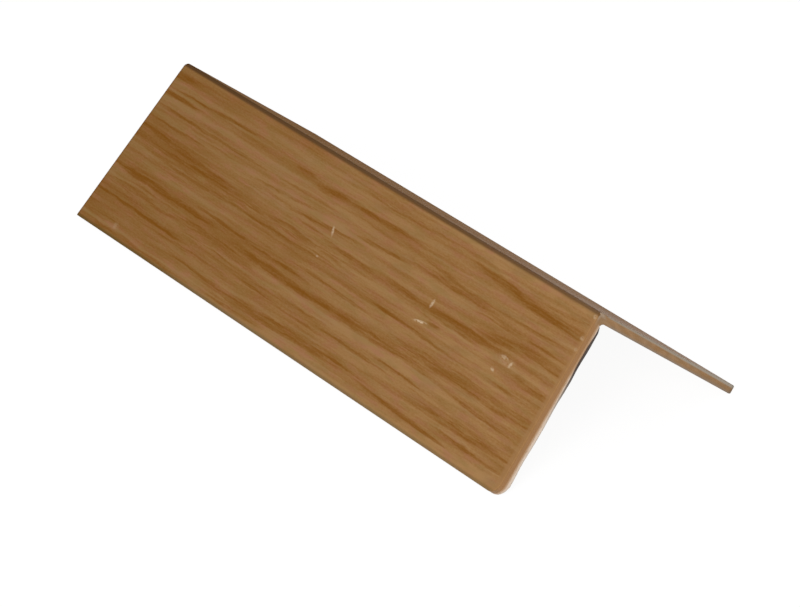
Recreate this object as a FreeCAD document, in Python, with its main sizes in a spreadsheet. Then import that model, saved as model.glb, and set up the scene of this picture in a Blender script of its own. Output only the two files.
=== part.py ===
"""Corner guard: an equal-leg angle moulding, one extruded strip of rigid plastic.

The strip stands on the free edges of its two legs, with its outer corner up,
as a tent stands. +X runs along the strip, from the slanted far cut to the
square near cut, the front leg falls towards -Y and the rear leg towards +Y.
The origin is on the surface it stands on, below the middle of the strip.

The section is drawn with the outer corner at the origin, the front leg hanging
straight down and the rear leg lying level, and is then tipped over.
"""
import FreeCAD, Part
import math
import os
import Sketcher

DRIVING_SIZES = [
    # name, millimetres or degrees, what it is
    ("leg_width", 30.0, "outside width of each leg, the sharp outer corner to the leg's free edge"),
    ("wall", 1.4, "thickness of both legs"),
    ("strip_length", 120.0, "length along the front leg's free edge, which is the longest line"),
    ("outer_radius", 0.7, "rounding of the outer corner"),
    ("inner_radius", 0.7, "fillet inside the corner"),
    ("edge_radius", 0.2, "rounding of the four free edges of the legs"),
    ("far_cut_angle", 10.0, "how far the far saw cut is out of square, seen on the front leg"),
    ("saw_allowance", 3.0, "stock beyond the far cut, which the saw takes off"),
    ("near_corner_radius", 2.0, "eased corner of the front leg at the near cut"),
    ("tip_angle", 45.0, "how far the section is tipped to stand on both free edges"),
]

DERIVED_SIZES = [
    ("blank_length", "=strip_length + saw_allowance", "extruded blank before its ends are trimmed"),
    ("far_cut_setback", "=leg_width * tan(far_cut_angle * 1deg)", "how far the corner ends short of the free edge"),
    ("stand_height", "=(leg_width + wall) / sqrt(2) - edge_radius * (sqrt(2) - 1)",
     "height of the sharp outer corner when both free edges touch the ground"),
]

doc = FreeCAD.newDocument("corner_guard")


def make_sheet():
    """The spreadsheet that every sketch and feature takes its sizes from."""
    sheet = doc.addObject("Spreadsheet::Sheet", "sizes")
    for row, (name, value, meaning) in enumerate(DRIVING_SIZES + DERIVED_SIZES, start=1):
        sheet.set(f"A{row}", name)
        sheet.set(f"B{row}", str(value))
        sheet.set(f"C{row}", meaning)
        sheet.setAlias(f"B{row}", name)
    doc.recompute()
    return sheet


sizes = make_sheet()


def size(name):
    """A size from the sheet as a plain number, in millimetres or degrees."""
    value = getattr(sizes, name)
    return float(getattr(value, "Value", value))


def vector(x, y):
    """A point of a sketch."""
    return FreeCAD.Vector(x, y, 0)


def new_sketch(body, name, plane_role):
    """An empty sketch on one of the body's own origin planes."""
    sketch = body.newObject("Sketcher::SketchObject", name)
    plane = next(feature for feature in body.Origin.OriginFeatures if feature.Role == plane_role)
    sketch.AttachmentSupport = (plane, [""])
    sketch.MapMode = "FlatFace"
    doc.recompute()
    return sketch


def bind(sketch, name, constraint, expression):
    """Add a dimension to a sketch and tie it to the sheet."""
    index = sketch.addConstraint(constraint)
    sketch.renameConstraint(index, name)
    sketch.setExpression(f"Constraints.{name}", expression)


def draw_rounded_outline(sketch, corners):
    """Draw a closed outline of level and upright lines with every corner rounded.

    corners holds (x, y, radius name) in anticlockwise order. Line number i runs
    from corner i to the next, and arc number i rounds corner i. Returns the
    numbers of the lines.
    """
    count = len(corners)
    points = [vector(x, y) for x, y, radius_name in corners]
    ways = [(points[(i + 1) % count] - points[i]).normalize() for i in range(count)]
    starts, ends, turns = [], [], []
    for i, (x, y, radius_name) in enumerate(corners):
        radius = size(radius_name)
        arriving, leaving = ways[i - 1], ways[i]
        starts.append(points[i] - arriving * radius)
        ends.append(points[i] + leaving * radius)
        turns.append(1 if arriving.cross(leaving).z > 0 else -1)
    lines = [sketch.addGeometry(Part.LineSegment(ends[i], starts[(i + 1) % count])) for i in range(count)]
    for i, (x, y, radius_name) in enumerate(corners):
        radius = size(radius_name)
        centre = starts[i] + ends[i] - points[i]
        first, last = (starts[i], ends[i]) if turns[i] > 0 else (ends[i], starts[i])
        first_angle = math.atan2(first.y - centre.y, first.x - centre.x)
        last_angle = math.atan2(last.y - centre.y, last.x - centre.x)
        circle = Part.Circle(centre, FreeCAD.Vector(0, 0, 1), radius)
        arc = sketch.addGeometry(Part.ArcOfCircle(circle, first_angle, last_angle))
        arriving_end, leaving_end = (1, 2) if turns[i] > 0 else (2, 1)
        sketch.addConstraint(Sketcher.Constraint("Tangent", lines[i - 1], 2, arc, arriving_end))
        sketch.addConstraint(Sketcher.Constraint("Tangent", arc, leaving_end, lines[i], 1))
        bind(sketch, f"corner_{i}_radius", Sketcher.Constraint("Radius", arc, radius), f"sizes.{radius_name}")
    for i, line in enumerate(lines):
        direction = "Horizontal" if abs(ways[i].y) < abs(ways[i].x) else "Vertical"
        sketch.addConstraint(Sketcher.Constraint(direction, line))
    return lines


def draw_section(body):
    """The L section, on the plane across the strip."""
    sketch = new_sketch(body, "section", "YZ_Plane")
    width = size("leg_width")
    wall = size("wall")
    corners = [
        (0, 0, "outer_radius"),
        (0, -width, "edge_radius"),
        (wall, -width, "edge_radius"),
        (wall, -wall, "inner_radius"),
        (width, -wall, "edge_radius"),
        (width, 0, "edge_radius"),
    ]
    front_outer, front_tip, front_inner, rear_inner, rear_tip, rear_outer = draw_rounded_outline(sketch, corners)
    origin, start = -1, 1
    horizontal_axis, vertical_axis = -1, -2
    sketch.addConstraint(Sketcher.Constraint("PointOnObject", front_outer, start, vertical_axis))
    sketch.addConstraint(Sketcher.Constraint("PointOnObject", rear_outer, start, horizontal_axis))
    bind(sketch, "front_leg_width",
         Sketcher.Constraint("DistanceY", front_tip, start, origin, start, width), "sizes.leg_width")
    bind(sketch, "front_wall",
         Sketcher.Constraint("DistanceX", origin, start, front_inner, start, wall), "sizes.wall")
    bind(sketch, "rear_wall",
         Sketcher.Constraint("DistanceY", rear_inner, start, origin, start, wall), "sizes.wall")
    bind(sketch, "rear_leg_width",
         Sketcher.Constraint("DistanceX", origin, start, rear_tip, start, width), "sizes.leg_width")
    return sketch


def extrude_blank(body):
    """The strip as it leaves the die, cut square at both ends."""
    blank = body.newObject("PartDesign::Pad", "blank")
    blank.Profile = draw_section(body)
    blank.setExpression("Length", "sizes.blank_length")
    doc.recompute()
    return blank


def cut_through(body, name, sketch):
    """Take a sketch's area off the strip, through both legs' depth."""
    volume_before = body.Shape.Volume
    pocket = body.newObject("PartDesign::Pocket", name)
    pocket.Profile = sketch
    pocket.Type = "ThroughAll"
    pocket.Midplane = True
    doc.recompute()
    if body.Shape.Volume > volume_before - 1e-6:
        raise RuntimeError(f"{name} takes nothing off the strip")
    return pocket


def saw_far_end(body):
    """The far cut, square on the rear leg and out of square on the front leg."""
    sketch = new_sketch(body, "far_cut_outline", "XZ_Plane")
    width = size("leg_width")
    allowance = size("saw_allowance")
    setback = size("far_cut_setback")
    overrun = allowance
    slope = setback / width
    top_left = vector(-overrun, overrun)
    bottom_left = vector(-overrun, -width - overrun)
    bottom_right = vector(allowance - slope * overrun, -width - overrun)
    top_right = vector(allowance + setback + slope * overrun, overrun)
    outline = [top_left, bottom_left, bottom_right, top_right]
    lines = [sketch.addGeometry(Part.LineSegment(outline[i], outline[(i + 1) % 4])) for i in range(4)]
    for i, line in enumerate(lines):
        sketch.addConstraint(Sketcher.Constraint("Coincident", line, 2, lines[(i + 1) % 4], 1))
    left, bottom, cut, top = lines
    sketch.addConstraint(Sketcher.Constraint("Vertical", left))
    sketch.addConstraint(Sketcher.Constraint("Horizontal", bottom))
    sketch.addConstraint(Sketcher.Constraint("Horizontal", top))
    origin, start = -1, 1
    bind(sketch, "overrun_left",
         Sketcher.Constraint("DistanceX", left, start, origin, start, overrun), "sizes.saw_allowance")
    bind(sketch, "overrun_up",
         Sketcher.Constraint("DistanceY", origin, start, left, start, overrun), "sizes.saw_allowance")
    bind(sketch, "overrun_down",
         Sketcher.Constraint("DistanceY", bottom, start, origin, start, width + overrun),
         "sizes.leg_width + sizes.saw_allowance")
    bind(sketch, "cut_foot",
         Sketcher.Constraint("DistanceX", origin, start, cut, start, bottom_right.x),
         "sizes.saw_allowance * (1 - sizes.far_cut_setback / sizes.leg_width)")
    bind(sketch, "cut_head",
         Sketcher.Constraint("DistanceX", origin, start, top, start, top_right.x),
         "sizes.saw_allowance * (1 + sizes.far_cut_setback / sizes.leg_width) + sizes.far_cut_setback")
    return cut_through(body, "far_cut", sketch)


def ease_near_corner(body):
    """Round the corner where the front leg's free edge meets the near cut."""
    sketch = new_sketch(body, "near_corner_outline", "XZ_Plane")
    radius = size("near_corner_radius")
    end = size("blank_length")
    foot = -size("leg_width")
    corner = vector(end, foot)
    on_end = vector(end, foot + radius)
    on_edge = vector(end - radius, foot)
    circle = Part.Circle(vector(end - radius, foot + radius), FreeCAD.Vector(0, 0, 1), radius)
    end_line = sketch.addGeometry(Part.LineSegment(on_end, corner))
    edge_line = sketch.addGeometry(Part.LineSegment(corner, on_edge))
    arc = sketch.addGeometry(Part.ArcOfCircle(circle, -math.pi / 2, 0))
    origin, start, finish = -1, 1, 2
    sketch.addConstraint(Sketcher.Constraint("Coincident", end_line, finish, edge_line, start))
    sketch.addConstraint(Sketcher.Constraint("Tangent", arc, finish, end_line, start))
    sketch.addConstraint(Sketcher.Constraint("Tangent", arc, start, edge_line, finish))
    sketch.addConstraint(Sketcher.Constraint("Vertical", end_line))
    sketch.addConstraint(Sketcher.Constraint("Horizontal", edge_line))
    bind(sketch, "corner_radius", Sketcher.Constraint("Radius", arc, radius), "sizes.near_corner_radius")
    bind(sketch, "corner_along",
         Sketcher.Constraint("DistanceX", origin, start, edge_line, start, end), "sizes.blank_length")
    bind(sketch, "corner_down",
         Sketcher.Constraint("DistanceY", edge_line, start, origin, start, -foot), "sizes.leg_width")
    return cut_through(body, "near_corner", sketch)


def stand_on_free_edges(body):
    """Tip the section so that both free edges touch the ground, outer corner up."""
    body.Placement = FreeCAD.Placement(FreeCAD.Vector(0, 0, 0), FreeCAD.Rotation(FreeCAD.Vector(1, 0, 0), 0))
    body.setExpression("Placement.Rotation.Angle", "-sizes.tip_angle * 1deg")
    body.setExpression("Placement.Base.x", "-sizes.saw_allowance - sizes.strip_length / 2")
    body.setExpression("Placement.Base.z", "sizes.stand_height")
    doc.recompute()


def make_corner_guard():
    """The whole moulding: one extruded strip with both ends trimmed."""
    body = doc.addObject("PartDesign::Body", "corner_guard")
    body.Label = "corner_guard"
    doc.recompute()
    extrude_blank(body)
    saw_far_end(body)
    ease_near_corner(body)
    stand_on_free_edges(body)
    return body


def check(part):
    """Stop if any object of the document failed or the part isn't one sound solid."""
    doc.recompute()
    for item in doc.Objects:
        if "Invalid" in item.State or "Error" in item.State:
            raise RuntimeError(f"{item.Name} failed: {item.State}")
    if part.Shape.isNull() or not part.Shape.isValid() or len(part.Shape.Solids) != 1:
        raise RuntimeError(f"{part.Label} is not one valid solid")


corner_guard = make_corner_guard()
check(corner_guard)
os.makedirs("parts", exist_ok=True)
corner_guard.Shape.exportStep(f"parts/{corner_guard.Label}.step")
box = corner_guard.Shape.optimalBoundingBox()
print(f"{corner_guard.Label}: {corner_guard.Shape.Volume:.2f} mm3, "
      f"x {box.XMin:.3f} to {box.XMax:.3f}, y {box.YMin:.3f} to {box.YMax:.3f}, z {box.ZMin:.3f} to {box.ZMax:.3f}")
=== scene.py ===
"""Looks of the corner guard: a short sawn length of plastic angle trim with an oak print on its outer faces.

The strip stands on the free edges of its two legs, outer corner up, with the square near cut at +X.
Lengths here are in millimetres and become metres where a mesh, a lamp or the camera is made.
"""
import math

import bpy
from mathutils import Matrix, Vector, noise


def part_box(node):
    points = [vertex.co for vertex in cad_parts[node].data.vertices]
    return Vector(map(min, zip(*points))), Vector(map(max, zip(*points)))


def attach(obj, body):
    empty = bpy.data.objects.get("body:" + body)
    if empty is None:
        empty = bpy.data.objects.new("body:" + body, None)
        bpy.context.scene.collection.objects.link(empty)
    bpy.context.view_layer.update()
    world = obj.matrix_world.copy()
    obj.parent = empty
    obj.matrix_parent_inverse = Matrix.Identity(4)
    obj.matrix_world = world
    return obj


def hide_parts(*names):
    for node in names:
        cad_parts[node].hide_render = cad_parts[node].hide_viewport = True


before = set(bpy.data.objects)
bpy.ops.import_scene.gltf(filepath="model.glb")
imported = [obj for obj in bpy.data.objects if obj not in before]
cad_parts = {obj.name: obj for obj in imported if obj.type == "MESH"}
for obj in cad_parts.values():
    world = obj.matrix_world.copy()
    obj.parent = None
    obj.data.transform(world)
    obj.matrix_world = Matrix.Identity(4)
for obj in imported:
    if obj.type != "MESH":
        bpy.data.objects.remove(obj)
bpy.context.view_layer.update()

MM = 0.001

# Sizes of the strip
OUTER_RADIUS = 0.7
INNER_RADIUS = 0.7
EDGE_RADIUS = 0.2
EASED_RADIUS = 2.0
FAR_CUT_ANGLE = math.radians(10)
CORNER_LOSS = math.sqrt(2) - 1  # a rounded square corner falls short of the sharp one by this many radii

low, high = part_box("corner_guard")
LENGTH = (high.x - low.x) / MM
LEG = math.sqrt(2) * (high.y / MM + EDGE_RADIUS * CORNER_LOSS)
RIDGE = high.z / MM + OUTER_RADIUS * CORNER_LOSS  # height of the sharp outer corner
WALL = math.sqrt(2) * (RIDGE + EDGE_RADIUS * CORNER_LOSS) - LEG
BEND = WALL + INNER_RADIUS  # the bend takes up this much of each leg
SETBACK = LEG * math.tan(FAR_CUT_ANGLE)

# Fineness of the mesh
ROWS = 64
COLUMN_STEP = 0.4
BEND_COLUMNS = 20
EASED_COLUMNS = 9
RIM_ANGLES = [math.radians(angle) for angle in (30, 60, 90)]  # steps round each edge of the rim
RIM_DEPTHS = [0.35, 0.5, 0.65, 0.8, 0.9, 1.0, 1.1]  # steps across the flat of the rim

# Lip of plastic that the saw left on the inner edge of the front leg's near cut
LIP_REACH = 0.2
LIP_CURL = 1.8  # how far it turns inwards for each millimetre that it reaches out
LIP_WIDTH = 0.45
TORN_DEPTH = 0.9  # the cut's face is torn plastic from this depth inwards
LIP_START = 1.5  # length next to the inner corner over which the lip grows to its full reach
LIP_AT_FREE_EDGE = 0.4  # share of its reach that is left at the free edge
LIP_REGROWTH = 0.3  # share that it regains with each millimetre from there
LIP_WAVE_LENGTH = 3.5
LIP_CRUMBS_PER_MM = 2.6
LIP_WAVES_ROW, LIP_CRUMBS_ROW = 3.7, 9.1  # places in the noise that its waves and crumbs are read from
LIP_MEAN, LIP_WAVES, LIP_CRUMBS, LIP_LEAST = 0.85, 0.35, 0.08, 0.1  # shares of its reach
# Painted shadow: a dark line along the lip's inner edge, next to the outer corner
SHADOW_LINE_PLACE = 5.5  # the widest part of the painted shadow line, across from the outer corner
SHADOW_LINE_EXTRA = 0.13  # how much wider it is there
SHADOW_LINE_NARROWING = (1.0, 4.0)  # distances from there where it starts to narrow and where it has narrowed
SHADOW_LINE_EDGE_FADE = (0.04, 0.16)  # distances out from the inner face where it starts to fade and has gone
SHADOW_LINE_END = (0.25, 0.6)  # shares of the leg's width where it starts to fade and has gone

# How the oak print is drawn
STREAK_OVERRUN = 1.15  # a streak's soft ellipse is this many times its listed length
STREAK_SPREAD = 1.6  # and this many times its listed width
STREAK_FAINTEST = 0.55  # share of its darkness that a streak has where it is faintest
STREAK_SWING = 0.9  # what it gains on that where it is darkest
STREAK_LIMIT = 0.85  # streaks that lie over each other get no darker than this
STREAK_STRENGTH = 0.61
SPECKLE_STRENGTH = 0.5
GROUND_DARKNESS = 0.235
PRINT_RANGE = (-0.15, 1.12)  # sums that print as bare oak and as full grain
WANDER_MEAN = 0.8  # mean of the noise that bends the grain
WANDER_STRENGTH = 0.7  # how strongly the grain strays from straight
RUSSET_STRENGTH = 0.6  # of the russet tint where the print is neither bare oak nor full grain
NICK_STRENGTH = 0.65

# Layers of grain under the streaks, from fibres to broad bands: length, width, seed, strength
GRAIN_LAYERS = [
    (11, 0.36, 4, 0.56),
    (42, 1.0, 5, 0.92),
    (95, 2.4, 6, 1.2),
]

# Borders of the film: distances in from each where its shade starts to fade and where it has gone
FOLD_FADE = (0.35, 0.85)
FAR_EDGE_FADE = (0.1, 0.6)
FREE_EDGE_FADE = (0.2, 0.7)
NEAR_EDGE_FADE = (0.2, 0.9)
NEAR_EDGE_WIDENING = 0.5  # the worn near edge is this much wider at the free edge
BROWN_EDGE_FADE = (15, 45)  # the free edge's painted shade turns from brown to grey between these places along it
FAR_EDGE_STRENGTH = 0.45
NEAR_EDGE_STRENGTH = 0.75

# What changes along the film, as its values at the far end and at the near end
# the painted shades on the fold and the free edges are weaker towards the near end, with the painted light
# there
FOLD_STRENGTH = (0.95, 0.70)
FREE_EDGE_STRENGTH = (0.90, 0.55)
FILM_ROUGHNESS = (0.68, 0.40)
REAR_DULNESS = (0.27, 0)  # roughness that the rear leg has on top

# Sawn near end: distances where each of its marks starts and ends
CUT_FADE = (0.3, 0.6)  # back from the cut
RUBBED_RISE = (1.0, 2.0)  # across from the outer corner, on the front leg
REAR_FADE = (-2.5, -0.8)  # across from the outer corner, on the rear leg
# Painted sheen: a grey strip along the outer edge of the rear leg's near cut, for the grazing reflection of
# the rear outer face
SHEEN_FADE = (0.1, 0.3)  # into the wall from the outer face
SHEEN_SPREAD = 0.25  # how much deeper the painted sheen on the rear leg's cut reaches at the leg's tip
ARRIS_FADE = (0.1, 0.5)  # out from the inner face
CHIP_PLACE = -0.2  # across from the outer corner
CHIP_WIDTH_FADE = (0.4, 1.3)  # to either side of its place
CHIP_DEPTH_FADE = (0.3, 0.8)  # into the wall from the outer face

# Light, floor and backdrop
ROOM_LIGHT = 0.52
LAMP_PLACE = (420, -420, 380)
LAMP_SIZE = 350
LAMP_WATTS = 2.95
FLOOR_HALF = 2500  # from its middle to each side
FLOOR_GLOW = 1.07
FLOOR_SHOWN_WHITE = 0.88  # share of the floor's look that is plain white, and the rest takes the shadow

# Camera, as the photograph sees the strip
AIM = Vector((4.56, -0.92, 1.79))
AZIMUTH = math.radians(60.79)
ELEVATION = math.radians(28.73)
ROLL = math.radians(8.27)
DISTANCE = 758.9
LENS = 225
SENSOR = 36
CLIP_NEAR, CLIP_FAR = 50, 20000

# Order of the finishes on the strip's mesh
FILM, CORE, LIP = 0, 1, 2

# Streaks of the front leg's print: start, end, start and end across from the corner, width, darkness
STREAKS = [
    (1, 12, 2.7, 2.2, 0.6, 0.6),
    (7, 35, 4.6, 4.0, 0.5, 0.9),
    (1, 16, 5.6, 5.6, 0.7, 1.0),
    (1, 43, 8.1, 7.7, 0.5, 0.9),
    (14, 36, 9.3, 9.0, 0.4, 0.35),
    (0, 22, 10.3, 9.9, 0.5, 0.7),
    (0, 33, 11.8, 13.1, 0.7, 0.9),
    (12, 32, 14.1, 13.5, 0.6, 0.5),
    (0, 18, 14.7, 14.9, 0.8, 0.7),
    (8, 34, 15.8, 15.3, 0.5, 0.6),
    (25, 45, 18.4, 18.8, 0.5, 0.8),
    (-4, 36, 19.3, 19.8, 1.1, 0.8),
    (2, 20, 20.9, 20.7, 0.5, 0.4),
    (-2, 24, 21.9, 21.8, 1.3, 0.6),
    (20, 50, 21.2, 21.7, 1.0, 0.9),
    (23, 43, 22.6, 23.0, 0.4, 0.6),
    (-2, 29, 24.1, 24.4, 0.5, 0.7),
    (18, 40, 25.3, 25.0, 0.5, 0.35),
    (24, 45, 26.9, 27.3, 0.5, 0.7),
    (-4, 8, 28.0, 28.1, 0.5, 0.6),
    (-4, 34, 29.3, 29.5, 1.2, 0.95),
    (2, 44, 14.2, 14.7, 2.0, 0.6),
    (-12, 66, 20.0, 20.0, 20.0, 0.2),
    (42, 50, 4.9, 4.9, 0.7, 0.6),
    (49, 59, 5.9, 5.4, 1.3, 0.5),
    (38, 61, 7.7, 7.5, 0.5, 0.8),
    (32, 59, 9.9, 8.9, 0.5, 0.8),
    (46, 68, 10.9, 9.8, 0.5, 0.7),
    (48, 60, 11.5, 11.8, 0.4, 0.5),
    (42, 56, 13.6, 12.9, 0.5, 0.6),
    (30, 70, 14.3, 14.5, 1.8, 0.5),
    (30, 62, 15.3, 15.1, 0.6, 0.6),
    (52, 80, 17.7, 18.1, 0.5, 0.7),
    (40, 60, 18.7, 19.1, 0.5, 0.6),
    (36, 66, 20.0, 20.9, 1.0, 0.8),
    (53, 70, 22.9, 23.0, 0.5, 0.7),
    (41, 58, 23.9, 24.6, 0.5, 0.6),
    (54, 70, 24.6, 24.7, 0.5, 0.4),
    (34, 88, 27.6, 26.6, 1.5, 0.75),
    (38, 58, 29.0, 28.6, 0.5, 0.5),
    (36, 58, 28.4, 28.0, 1.2, 0.4),
    (30, 66, 10.8, 10.6, 2.0, 0.2),
    (54, 90, 2.8, 2.2, 0.8, 0.6),
    (58, 80, 5.7, 4.8, 0.7, 0.6),
    (62, 79, 9.1, 8.5, 0.5, 0.9),
    (56, 78, 12.2, 12.6, 0.6, 0.7),
    (60, 74, 13.5, 13.3, 0.5, 0.5),
    (50, 78, 13.3, 13.6, 1.8, 0.4),
    (60, 86, 1.3, 1.1, 1.5, 0.35),
    (68, 98, 21.3, 20.9, 1.3, 0.25),
    (72, 92, 12.3, 13.6, 1.6, 0.5),
    (72, 100, 16.1, 16.9, 0.5, 0.8),
    (54, 100, 20.7, 20.2, 1.5, 0.75),
    (65, 87, 23.7, 24.2, 0.5, 0.8),
    (79, 98, 23.0, 23.5, 0.4, 0.8),
    (78, 96, 6.5, 7.4, 0.6, 0.5),
    (78, 106, 8.0, 7.6, 0.9, 0.5),
    (82, 126, 2.4, 5.7, 1.1, 0.55),
    (84, 104, 13.2, 13.4, 0.5, 0.6),
    (86, 108, 12.4, 12.2, 1.2, 0.6),
    (88, 92, 14.3, 14.4, 0.5, 0.8),
    (96, 118, 11.7, 10.1, 1.4, 0.7),
    (98, 126, 9.0, 8.9, 0.6, 0.7),
    (90, 112, 8.9, 8.7, 1.3, 0.25),
    (100, 122, 7.4, 7.0, 0.4, 0.4),
    (102, 124, 14.0, 14.5, 0.7, 0.6),
    (105, 114, 16.7, 16.6, 0.5, 0.6),
    (108, 123, 3.2, 2.3, 0.5, 0.5),
    (110, 123, 14.8, 15.1, 0.5, 0.6),
    (111, 123, 16.1, 16.1, 0.5, 0.5),
    (113, 123, 10.9, 11.0, 0.5, 0.6),
    (78, 130, 18.9, 19.2, 1.8, 0.85),
    (90, 124, 21.2, 22.3, 0.5, 0.7),
    (102, 130, 18.8, 19.4, 1.5, 0.6),
    (86, 126, 25.2, 25.1, 1.3, 0.6),
    (100, 121, 26.7, 27.4, 0.5, 0.7),
    (80, 109, 27.5, 28.5, 0.6, 0.9),
]

# Pale nicks in the print: along, across, length, width, angle in degrees, brightness
NICKS = [
    (58.8, 10.4, 2.4, 0.8, 65, 1.0),
    (58.5, 14.9, 1.0, 0.5, 0, 0.6),
    (87.3, 11.7, 2.0, 0.9, 100, 1.0),
    (86.9, 14.9, 4.2, 0.55, -8, 1.5),
    (109.1, 13.2, 1.4, 0.9, 110, 0.9),
    (107.2, 12.7, 2.4, 0.8, 0, 0.6),
    (107.6, 13.0, 7.0, 2.2, 0, 0.2),
    (106.1, 15.1, 1.4, 0.7, 20, 0.9),
    (10.6, 28.0, 2.4, 1.6, 0, 0.3),
    (119.5, 4.6, 1.2, 1.0, 0, 0.5),
    (119.6, 1.0, 1.0, 1.0, 0, 0.7),
    (119.5, 6.4, 1.0, 0.8, 0, 0.35),
]

# Colours, linear
# painted light: the oak is lighter at the near end than at the far end
OAK_AT_FAR_END = (0.278, 0.149, 0.052, 1)
OAK_AT_NEAR_END = (0.340, 0.184, 0.070, 1)
GRAIN = (0.186, 0.065, 0.002, 1)
RUSSET_OAK = (0.26, 0.105, 0.012, 1)
PINK_OAK = (0.325, 0.150, 0.070, 1)
OLIVE_OAK = (0.258, 0.150, 0.046, 1)
GREY_OAK = (0.292, 0.168, 0.074, 1)
FOLD_SHADE = (0.088, 0.039, 0.010, 1)
WORN_EDGE = (0.305, 0.158, 0.060, 1)
# painted shade on the free edges, where their rounding turns away from the light: brown at the far end,
# greyer further along
FREE_EDGE_SHADE_GREY = (0.165, 0.110, 0.046, 1)
FREE_EDGE_SHADE_BROWN = (0.125, 0.068, 0.012, 1)
NICK_CREAM = (0.58, 0.43, 0.28, 1)
CORE_TAN = (0.290, 0.155, 0.062, 1)
CORE_DULL = (0.250, 0.160, 0.085, 1)
CORE_PALE = (0.385, 0.225, 0.115, 1)
CORE_RUBBED = (0.345, 0.168, 0.062, 1)
CORE_CHIPPED = (0.36, 0.27, 0.19, 1)
CORE_GREYED = (0.250, 0.185, 0.130, 1)
# painted sheen along the outer edge of the rear leg's near cut, paler towards its tip
PAINTED_SHEEN_GREY = (0.330, 0.275, 0.210, 1)
PAINTED_SHEEN_PALE = (0.37, 0.325, 0.265, 1)
LIP_CREAM = (0.66, 0.53, 0.42, 1)
# painted shadow of the dark line along the lip's edge
PAINTED_SHADOW_LINE = (0.025, 0.012, 0.008, 1)
FLOOR_GREY = (0.80, 0.80, 0.80, 1)
WHITE = (1, 1, 1, 1)

# Patches of other hues in the oak: hue, length, width, seed, noise where they start, strength
OAK_PATCHES = [
    (PINK_OAK, 5, 1.2, 7, 0.45, 0.85),
    (OLIVE_OAK, 6, 1.2, 8, 0.45, 0.6),
    (GREY_OAK, 7, 1.5, 18, 0.5, 0.3),
]
PATCH_FULL = 0.7  # noise where a patch has its full strength


class Value:
    """A socket of a material, which takes part in sums as a number does."""

    def __init__(self, finish, socket):
        self.finish = finish
        self.socket = socket

    def maths(self, operation, *terms):
        return self.finish.node("ShaderNodeMath", {"operation": operation}, dict(enumerate(terms)))

    def __add__(self, other):
        return self.maths("ADD", self, other)

    def __radd__(self, other):
        return self.maths("ADD", other, self)

    def __sub__(self, other):
        return self.maths("SUBTRACT", self, other)

    def __rsub__(self, other):
        return self.maths("SUBTRACT", other, self)

    def __mul__(self, other):
        return self.maths("MULTIPLY", self, other)

    def __rmul__(self, other):
        return self.maths("MULTIPLY", other, self)

    def __truediv__(self, other):
        return self.maths("DIVIDE", self, other)

    def __abs__(self):
        return self.maths("ABSOLUTE", self)

    def above(self, limit):
        return self.maths("GREATER_THAN", self, limit)

    def at_most(self, limit):
        return self.maths("MINIMUM", self, limit)

    def rise(self, start, end):
        """0 up to start, 1 past end, and a smooth step between."""
        return self.finish.node("ShaderNodeMapRange", {"interpolation_type": "SMOOTHSTEP"},
                                {"Value": self, "From Min": start, "From Max": end})

    def fall(self, start, end):
        """1 up to start, 0 past end, and a smooth step between."""
        return 1 - self.rise(start, end)


class Nodes:
    """A node tree, emptied, and the one method that adds a node to it."""

    def __init__(self, tree):
        self.tree = tree
        tree.nodes.clear()

    def node(self, kind, settings=None, inputs=None, output=0):
        """Add a node, set it up, fill or link its sockets, and return one of its outputs."""
        node = self.tree.nodes.new(kind)
        for name, setting in (settings or {}).items():
            setattr(node, name, setting)
        for name, value in (inputs or {}).items():
            if isinstance(value, Value):
                self.tree.links.new(value.socket, node.inputs[name])
            else:
                node.inputs[name].default_value = value
        return Value(self, node.outputs[output]) if node.outputs else None


class Finish(Nodes):
    """A material under construction."""

    SEED_ALONG, SEED_ACROSS = 37.0, 11.0  # each seed shifts the noise by this much
    SPOT_FULL = 0.75  # glow from which a spot counts as full

    def __init__(self, name):
        self.material = bpy.data.materials.new(name)
        self.material.use_nodes = True
        super().__init__(self.material.node_tree)

    def blend(self, factor, first, second):
        """A colour between two, by the factor."""
        return self.node("ShaderNodeMix", {"data_type": "RGBA"}, {0: factor, 6: first, 7: second}, output=2)

    def tinted(self, colour, tints):
        """A colour with tints laid over it in turn, each given as mask, strength and tint."""
        for mask, strength, tint in tints:
            colour = self.blend(mask * strength, colour, tint)
        return colour

    def fitted(self, place, along, across, length, width, angle=0.0):
        """The place as measured from a point, in these lengths and widths, on axes turned by the angle."""
        return self.node(
            "ShaderNodeMapping", {"vector_type": "TEXTURE"},
            {"Vector": place, "Location": (along, across, 0), "Rotation": (0, 0, angle),
             "Scale": (length, width, 1)})

    def noise(self, place, length, width, seed, detail=2.0):
        """Noise from 0 to 1 whose blotches are this long and wide, in millimetres."""
        stretched = self.fitted(place, seed * self.SEED_ALONG, seed * self.SEED_ACROSS, length, width)
        return self.node("ShaderNodeTexNoise", {"noise_dimensions": "2D"},
                         {"Vector": stretched, "Scale": 1.0, "Detail": detail})

    def spot(self, place, along, across, length, width, angle):
        """A soft ellipse on the print, from 0 at its edge to 1 over its middle."""
        inside = self.fitted(place, along, across, length / 2, width / 2, angle)
        glow = self.node("ShaderNodeTexGradient", {"gradient_type": "SPHERICAL"}, {"Vector": inside},
                         output="Fac")
        return glow.rise(0, self.SPOT_FULL)

    def bump(self, height, distance):
        """Normals of a relief this many millimetres high."""
        return self.node("ShaderNodeBump", inputs={"Height": height, "Distance": distance * MM})

    def surface(self, **sockets):
        """End the material in a Principled surface."""
        named = {name.replace("_", " "): value for name, value in sockets.items()}
        shader = self.node("ShaderNodeBsdfPrincipled", inputs=named)
        self.node("ShaderNodeOutputMaterial", inputs={"Surface": shader})
        return self.material


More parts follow.
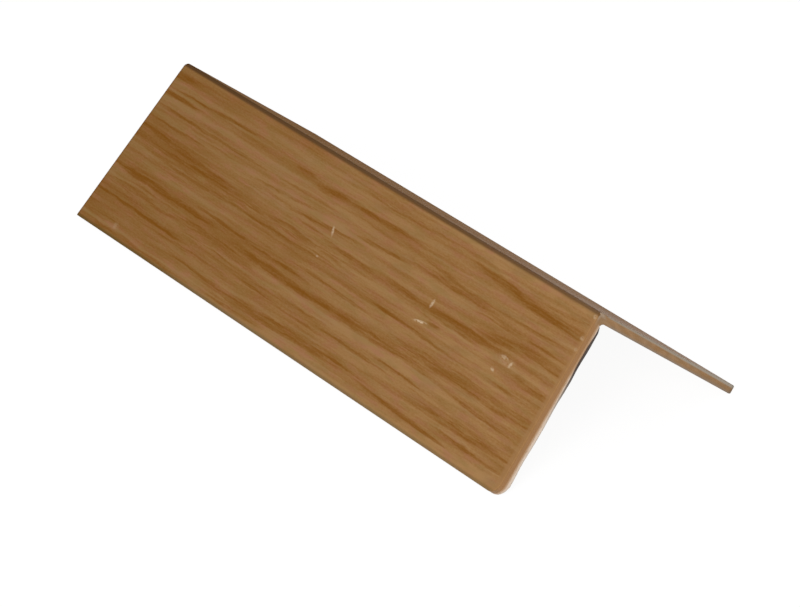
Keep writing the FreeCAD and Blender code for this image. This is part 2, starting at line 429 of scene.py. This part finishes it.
def strip_axes(finish):
    """Places on the strip in millimetres: from the far end, across from the outer corner, and into the wall.

    Across is positive on the front leg and negative on the rear one.
    """
    place = finish.node("ShaderNodeTexCoord", output="Object")
    axes = [finish.node("ShaderNodeSeparateXYZ", inputs={"Vector": place}, output=axis) for axis in "XYZ"]
    x, y, z = [axis / MM for axis in axes]
    along = x + LENGTH / 2
    across = y * -math.sqrt(2)
    depth = (RIDGE - z - abs(y)) / math.sqrt(2)
    return along, across, depth


def flat_place(finish, along, across):
    """A vector of two places."""
    return finish.node("ShaderNodeCombineXYZ", inputs={"X": along, "Y": across})


def between(share, first, last):
    """The value at a share of the way from the first to the last."""
    return share * (last - first) + first


def print_darkness(finish, along, across, place):
    """How dark the oak print is, from 0 to 1: placed streaks over fine fibres and broad bands.

    The rear leg bears the front leg's print turned end for end.
    """
    front = across.above(0)
    turned_along = LENGTH - along + front * (2 * along - LENGTH)
    turned_across = across + (1 - front) * LEG
    wander = finish.noise(place, 22, 9, seed=1) + 0.6 * finish.noise(place, 4, 0.7, seed=2)
    wavy = flat_place(finish, turned_along, turned_across + (wander - WANDER_MEAN) * WANDER_STRENGTH)
    streaks = 0.0
    for start, end, start_across, end_across, width, darkness in STREAKS:
        angle = math.atan2(end_across - start_across, end - start)
        middle = ((start + end) / 2, (start_across + end_across) / 2)
        size = (STREAK_OVERRUN * (end - start), STREAK_SPREAD * width)
        streaks = finish.spot(wavy, *middle, *size, angle) * darkness + streaks
    fading = STREAK_FAINTEST + STREAK_SWING * finish.noise(wavy, 5, 0.35, seed=3).rise(0.3, 0.7)
    streaks = (streaks * fading).at_most(STREAK_LIMIT)
    ground = (finish.noise(place, 0.6, 0.2, seed=17) - 0.5) * SPECKLE_STRENGTH + GROUND_DARKNESS
    for length, width, seed, strength in GRAIN_LAYERS:
        ground = (finish.noise(wavy, length, width, seed) - 0.5) * strength + ground
    return (streaks * STREAK_STRENGTH + ground).rise(*PRINT_RANGE)


def nick_marks(finish, place):
    """Brightness of the pale nicks, with ragged edges."""
    nicks = 0.0
    for along, across, length, width, angle, brightness in NICKS:
        spot = finish.spot(place, along, across, length, width, math.radians(angle))
        nicks = spot * brightness + nicks
    ragged = finish.noise(place, 0.6, 0.3, seed=9).rise(0.25, 0.6)
    return nicks * ragged * NICK_STRENGTH


def film_finish():
    """Printed oak film, satin, darker on the fold and along its edges, with painted shade on the fold and on
    the far and free edges.
    """
    finish = Finish("printed_oak_film")
    along, across, _ = strip_axes(finish)
    place = flat_place(finish, along, across)
    from_far_end = along / LENGTH
    darkness = print_darkness(finish, along, across, place)
    # painted light: the oak lightens from the far end to the near end
    oak = finish.blend(from_far_end, OAK_AT_FAR_END, OAK_AT_NEAR_END)
    for hue, length, width, seed, start, strength in OAK_PATCHES:
        patches = finish.noise(place, length, width, seed).rise(start, PATCH_FULL)
        oak = finish.blend(patches * strength, oak, hue)

    fold = abs(across).fall(*FOLD_FADE)
    far_edge = (along - SETBACK + abs(across) * (SETBACK / LEG)).fall(*FAR_EDGE_FADE)
    # painted shade along the free edges
    free_edge = (LEG - abs(across)).fall(*FREE_EDGE_FADE)
    near_edge = (LENGTH - along - across.rise(0, LEG) * NEAR_EDGE_WIDENING).fall(*NEAR_EDGE_FADE)
    edge_shade = finish.blend(along.rise(*BROWN_EDGE_FADE), FREE_EDGE_SHADE_BROWN, FREE_EDGE_SHADE_GREY)
    nicks = nick_marks(finish, place)
    colour = finish.tinted(finish.blend(darkness, oak, GRAIN), [
        (darkness * (1 - darkness), RUSSET_STRENGTH, RUSSET_OAK),
        (near_edge, NEAR_EDGE_STRENGTH, WORN_EDGE),
        (far_edge, FAR_EDGE_STRENGTH, FOLD_SHADE),
        (free_edge, between(from_far_end, *FREE_EDGE_STRENGTH), edge_shade),
        (fold, between(from_far_end, *FOLD_STRENGTH), FOLD_SHADE),
        (nicks, 1.0, NICK_CREAM),
    ])

    pores = finish.noise(place, 2.5, 0.16, seed=10, detail=3)
    relief = finish.bump(pores - darkness * 0.8 + nicks * 2.0, 0.012)
    rear_dulness = (1 - across.above(0)) * between(from_far_end, *REAR_DULNESS)
    satin = between(from_far_end, *FILM_ROUGHNESS) + rear_dulness
    roughness = satin + 0.1 * finish.noise(place, 5, 0.5, seed=11)
    return finish.surface(Base_Color=colour, Roughness=roughness, Specular_IOR_Level=0.08, Normal=relief)


def core_finish():
    """Tan plastic of the sawn ends, free edges and inner faces, with saw marks, faint die lines and a
    painted sheen along the rear leg's cut.
    """
    finish = Finish("tan_plastic_core")
    along, across, depth = strip_axes(finish)
    place = flat_place(finish, along, across)
    end_place = flat_place(finish, across, depth)
    on_cut = (LENGTH - along).fall(*CUT_FADE)
    front = across.rise(*RUBBED_RISE)
    rear = across.fall(*REAR_FADE)
    towards_tip = abs(across) / LEG

    mottle = finish.noise(end_place, 1.6, 0.6, seed=12).rise(0.35, 0.75)
    patches = finish.noise(end_place, 3.0, 0.9, seed=13).rise(0.35, 0.7)
    # painted sheen: grey along the outer edge of the rear leg's cut, deeper and paler towards its tip
    painted_sheen = (depth - towards_tip * SHEEN_SPREAD).fall(*SHEEN_FADE) * rear * on_cut
    sheen_grey = finish.blend(towards_tip, PAINTED_SHEEN_GREY, PAINTED_SHEEN_PALE)
    inner_arris = (WALL - depth).fall(*ARRIS_FADE) * on_cut
    chipped = abs(across - CHIP_PLACE).fall(*CHIP_WIDTH_FADE) * depth.fall(*CHIP_DEPTH_FADE) * on_cut
    colour = finish.tinted(CORE_TAN, [
        (patches * on_cut, 0.5, CORE_DULL),
        (mottle, 0.5, CORE_PALE),
        (front * on_cut, 0.8, CORE_RUBBED),
        (chipped, 0.8, CORE_CHIPPED),
        (painted_sheen, 0.85, sheen_grey),
        (inner_arris * rear, 0.8, CORE_GREYED),
    ])

    saw_marks = finish.noise(end_place, 0.18, 1.5, seed=14, detail=3)
    die_lines = finish.noise(place, 60, 0.25, seed=15, detail=3)
    relief = finish.bump(saw_marks * on_cut + die_lines * (1 - on_cut) * 0.3, 0.02)
    return finish.surface(Base_Color=colour, Roughness=0.5, Specular_IOR_Level=0.25, Normal=relief)


def lip_finish():
    """Plastic that the saw whitened as it tore, with a painted shadow line along its edge next to the outer
    corner.
    """
    finish = Finish("torn_plastic_lip")
    _, across, depth = strip_axes(finish)
    crumbs = finish.noise(flat_place(finish, across, depth), 0.8, 0.2, seed=16, detail=3)
    by_shadow_line = abs(across - SHADOW_LINE_PLACE).fall(*SHADOW_LINE_NARROWING)
    whitened = (depth + crumbs * 0.3 - by_shadow_line * 0.2).rise(WALL - 0.3, WALL + 0.15)
    near_corner = (across / LEG).fall(*SHADOW_LINE_END)
    # painted shadow along the lip's edge, widest at its place and gone towards the free edge
    painted_shadow = (WALL - depth - by_shadow_line * SHADOW_LINE_EXTRA).fall(*SHADOW_LINE_EDGE_FADE) * near_corner
    colour = finish.tinted(CORE_PALE, [(whitened, 1.0, LIP_CREAM), (painted_shadow, 0.95, PAINTED_SHADOW_LINE)])
    return finish.surface(Base_Color=colour, Roughness=0.6, Normal=finish.bump(crumbs, 0.05))


def bend_place(share, depth):
    """Section place in the bend: share runs from 0 at the front leg's end of it to 1 at the rear leg's."""
    straight = BEND - OUTER_RADIUS
    arc = OUTER_RADIUS * math.pi / 2
    run = share * (2 * straight + arc)
    if run < straight:
        outer = Vector((BEND - run, 0))
    elif run < straight + arc:
        turn = (run - straight) / OUTER_RADIUS
        outer = Vector((1 - math.sin(turn), 1 - math.cos(turn))) * OUTER_RADIUS
    else:
        outer = Vector((0, run - straight - arc + OUTER_RADIUS))
    turn = share * math.pi / 2
    inner = Vector((BEND - INNER_RADIUS * math.sin(turn), BEND - INNER_RADIUS * math.cos(turn)))
    return outer.lerp(inner, depth / WALL)


def strip_place(x, across, depth):
    """Folds a place on the unrolled strip, across from the front free edge and into the wall, in metres."""
    if across < LEG - BEND:
        down_front, down_rear = LEG - across, depth
    elif across > LEG + BEND:
        down_front, down_rear = depth, across - LEG
    else:
        down_front, down_rear = bend_place((across - LEG + BEND) / (2 * BEND), depth)
    y = (down_rear - down_front) / math.sqrt(2)
    z = RIDGE - (down_front + down_rear) / math.sqrt(2)
    return Vector((x, y, z)) * MM


def column_places():
    """Places across the unrolled strip where the mesh has a line of vertices."""
    reach = EASED_RADIUS - EDGE_RADIUS
    turns = [math.pi / 2 * i / EASED_COLUMNS for i in range(EASED_COLUMNS, 0, -1)]
    eased = [EASED_RADIUS - reach * math.sin(turn) for turn in turns]
    front_width = LEG - BEND - EASED_RADIUS
    steps = round(front_width / COLUMN_STEP)
    front = [EASED_RADIUS + front_width * i / steps for i in range(steps)]
    bend = [LEG - BEND + 2 * BEND * i / BEND_COLUMNS for i in range(BEND_COLUMNS)]
    rear_width = LEG - BEND - EDGE_RADIUS
    steps = round(rear_width / COLUMN_STEP)
    rear = [LEG + BEND + rear_width * i / steps for i in range(steps + 1)]
    return eased + front + bend + rear


def row_shares():
    """Shares of the length where the mesh has a row of vertices, closer together towards both ends."""
    return [(1 - math.cos(math.pi * i / ROWS)) / 2 for i in range(ROWS + 1)]


def near_cut(across):
    """Where the mesh's flat face ends at the near cut, an edge radius short of it."""
    if across >= EASED_RADIUS:
        return LENGTH / 2 - EDGE_RADIUS
    reach = EASED_RADIUS - EDGE_RADIUS
    return LENGTH / 2 - EASED_RADIUS + math.sqrt(max(reach ** 2 - (EASED_RADIUS - across) ** 2, 0))


def far_cut(across):
    """Where the mesh's flat face ends at the far cut, an edge radius short of it."""
    slant = SETBACK * min(across / LEG, 1)
    shortfall = EDGE_RADIUS / math.cos(FAR_CUT_ANGLE) if across < LEG else EDGE_RADIUS
    return -LENGTH / 2 + slant + shortfall


def row_place(across, share):
    """Where a row of the mesh's flat face lies along the strip, from the far cut to the near one."""
    return far_cut(across) + (near_cut(across) - far_cut(across)) * share


def near_outward(across):
    """Direction out of the near cut, as (along, across)."""
    if across >= EASED_RADIUS:
        return Vector((1, 0))
    return Vector((near_cut(across) - LENGTH / 2 + EASED_RADIUS, across - EASED_RADIUS)).normalized()


def rim_loop(columns):
    """Rows, columns and outward directions round the unrolled strip's border, from the front near corner."""
    last_row, last_column = ROWS, len(columns) - 1
    loop = [(last_row, j, near_outward(columns[j])) for j in range(last_column)]
    loop.append((last_row, last_column, Vector((1, 1))))
    loop += [(i, last_column, Vector((0, 1))) for i in range(last_row - 1, 0, -1)]
    loop.append((0, last_column, Vector((-1, 1))))
    loop += [(0, j, Vector((-1, 0))) for j in range(last_column - 1, 0, -1)]
    loop.append((0, 0, Vector((-1, -1))))
    loop += [(i, 0, Vector((0, -1))) for i in range(1, last_row)]
    return loop


def rim_levels():
    """(how far out, how deep) of each line of vertices round the rim, from the outer face to the inner."""
    arc = [(EDGE_RADIUS * math.sin(angle), EDGE_RADIUS * (1 - math.cos(angle))) for angle in RIM_ANGLES]
    flat = [(EDGE_RADIUS, depth) for depth in RIM_DEPTHS]
    return arc + flat + [(out, WALL - depth) for out, depth in reversed(arc)]


def lip_height(across):
    """Reach of the torn lip on the front leg's near cut, from its free edge across to the inner corner."""
    from_inner_corner = LEG - WALL - across
    if from_inner_corner < 0:
        return 0.0
    fade = min(from_inner_corner / LIP_START, LIP_AT_FREE_EDGE + LIP_REGROWTH * across, 1)
    waves = noise.noise(Vector((across / LIP_WAVE_LENGTH, LIP_WAVES_ROW, 0)))
    crumbs = noise.noise(Vector((across * LIP_CRUMBS_PER_MM, LIP_CRUMBS_ROW, 0)))
    return LIP_REACH * fade * max(LIP_MEAN + LIP_WAVES * waves + LIP_CRUMBS * crumbs, LIP_LEAST)


def rim_place(row, share, across, outward, out, depth):
    """A place on the rim in metres, this far out of the flat faces and this deep, with the lip."""
    lip = 0.0
    if row == ROWS:
        lip = lip_height(across) * max(1 - (WALL - depth) / LIP_WIDTH, 0) ** 0.5
    place = Vector((row_place(across, share), across)) + outward * (out + lip)
    folded = strip_place(place.x, place.y, depth + lip * LIP_CURL)
    folded.z = max(folded.z, 0)
    return folded


def rim_finish(level, depth, across, on_near_cut):
    """Finish of a face of the rim: plastic, with film on its outer edge and the torn lip on its inner one.

    The film ends sharply at the rear leg's near cut, and only the front leg's near cut is torn.
    """
    if on_near_cut and across < LEG - WALL and depth >= TORN_DEPTH:
        return LIP
    on_rear_near_cut = on_near_cut and across >= LEG
    return FILM if level < len(RIM_ANGLES) and not on_rear_near_cut else CORE


def build_strip():
    """The whole strip as one closed mesh: outer sheet, inner sheet and the rim that joins them."""
    columns = column_places()
    shares = row_shares()
    vertices, faces, finishes = [], [], []
    outer, inner = {}, {}
    for sheet, depth in ((outer, 0.0), (inner, WALL)):
        for i, share in enumerate(shares):
            for j, across in enumerate(columns):
                sheet[i, j] = len(vertices)
                vertices.append(strip_place(row_place(across, share), across, depth))
    for i in range(ROWS):
        for j in range(len(columns) - 1):
            corners = [(i, j), (i + 1, j), (i + 1, j + 1), (i, j + 1)]
            faces.append([outer[corner] for corner in corners])
            finishes.append(FILM)
            faces.append([inner[corner] for corner in reversed(corners)])
            finishes.append(CORE)

    loop = rim_loop(columns)
    rings = [[outer[i, j] for i, j, outward in loop]]
    depths = [0.0]
    for out, depth in rim_levels():
        rings.append([len(vertices) + k for k in range(len(loop))])
        vertices += [rim_place(i, shares[i], columns[j], outward, out, depth) for i, j, outward in loop]
        depths.append(depth)
    rings.append([inner[i, j] for i, j, outward in loop])
    for level, depth in enumerate(depths):
        ring, deeper_ring = rings[level], rings[level + 1]
        for k, (i, j, outward) in enumerate(loop):
            following = (k + 1) % len(loop)
            faces.append([ring[k], deeper_ring[k], deeper_ring[following], ring[following]])
            on_near_cut = i == ROWS and k < len(columns) - 1
            finishes.append(rim_finish(level, depth, columns[j], on_near_cut))
    return vertices, faces, finishes


def add_strip():
    """Makes the strip's object and its finishes."""
    vertices, faces, finishes = build_strip()
    mesh = bpy.data.meshes.new("corner_guard_strip")
    mesh.from_pydata(vertices, [], faces)
    mesh.polygons.foreach_set("material_index", finishes)
    mesh.polygons.foreach_set("use_smooth", [True] * len(faces))
    for material in (film_finish(), core_finish(), lip_finish()):
        mesh.materials.append(material)
    mesh.update()
    strip = bpy.data.objects.new("corner_guard_strip", mesh)
    bpy.context.scene.collection.objects.link(strip)
    weighted = strip.modifiers.new("flat_faces_stay_flat", "WEIGHTED_NORMAL")
    weighted.weight = 100
    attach(strip, "root")
    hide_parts("corner_guard")


def seen_directly(finish):
    """1 for rays that show a thing as it looks: from the camera, in gloss and through glass."""
    rays = ["Is Camera Ray", "Is Glossy Ray", "Is Transmission Ray"]
    seen = [finish.node("ShaderNodeLightPath", output=ray) for ray in rays]
    return (seen[0] + seen[1] + seen[2]).at_most(1.0)


def add_floor():
    """A pale floor that looks white and keeps the strip's soft shadow."""
    finish = Finish("pale_floor")
    lit = finish.node("ShaderNodeBsdfDiffuse", inputs={"Color": FLOOR_GREY})
    white = finish.node("ShaderNodeEmission", inputs={"Color": WHITE, "Strength": FLOOR_GLOW})
    shown_white = seen_directly(finish) * FLOOR_SHOWN_WHITE
    shown = finish.node("ShaderNodeMixShader", inputs={0: shown_white, 1: lit, 2: white})
    finish.node("ShaderNodeOutputMaterial", inputs={"Surface": shown})
    half = FLOOR_HALF * MM
    corners = [(-half, -half, 0), (half, -half, 0), (half, half, 0), (-half, half, 0)]
    mesh = bpy.data.meshes.new("floor")
    mesh.from_pydata(corners, [], [(0, 1, 2, 3)])
    mesh.materials.append(finish.material)
    floor = bpy.data.objects.new("floor", mesh)
    bpy.context.scene.collection.objects.link(floor)


def add_world(strength):
    """White surroundings that light the strip evenly."""
    world = bpy.data.worlds.new("white_room")
    bpy.context.scene.world = world
    world.use_nodes = True
    room = Nodes(world.node_tree)
    seen = seen_directly(room)
    light = room.node("ShaderNodeBackground", inputs={"Color": WHITE, "Strength": strength})
    backdrop = room.node("ShaderNodeBackground", inputs={"Color": WHITE, "Strength": 1.0})
    both = room.node("ShaderNodeMixShader", inputs={0: seen, 1: light, 2: backdrop})
    room.node("ShaderNodeOutputWorld", inputs={"Surface": both})


def add_lamp(name, place, size, watts):
    """A square soft lamp at a place in millimetres, aimed at the strip."""
    lamp = bpy.data.lights.new(name, "AREA")
    lamp.size = size * MM
    lamp.energy = watts
    holder = bpy.data.objects.new(name, lamp)
    holder.location = Vector(place) * MM
    holder.rotation_euler = Vector(place).to_track_quat("Z", "Y").to_euler()
    bpy.context.scene.collection.objects.link(holder)


def add_camera():
    """The camera at the photograph's viewing angle."""
    level = math.cos(ELEVATION)
    back = Vector((math.sin(AZIMUTH) * level, -math.cos(AZIMUTH) * level, math.sin(ELEVATION)))
    level_right = Vector((math.cos(AZIMUTH), math.sin(AZIMUTH), 0))
    level_up = back.cross(level_right)
    up = level_up * math.cos(ROLL) + level_right * math.sin(ROLL)
    right = up.cross(back)
    camera = bpy.data.cameras.new("camera")
    camera.lens = LENS
    camera.sensor_width = SENSOR
    camera.clip_start = CLIP_NEAR * MM
    camera.clip_end = CLIP_FAR * MM
    holder = bpy.data.objects.new("camera", camera)
    turn = Matrix((right, up, back)).transposed().to_4x4()
    holder.matrix_world = Matrix.Translation((AIM + back * DISTANCE) * MM) @ turn
    bpy.context.scene.collection.objects.link(holder)
    bpy.context.scene.camera = holder


add_strip()
add_floor()
add_world(ROOM_LIGHT)
add_lamp("near_key", LAMP_PLACE, LAMP_SIZE, LAMP_WATTS)
add_camera()
bpy.context.scene.view_settings.view_transform = "Standard"
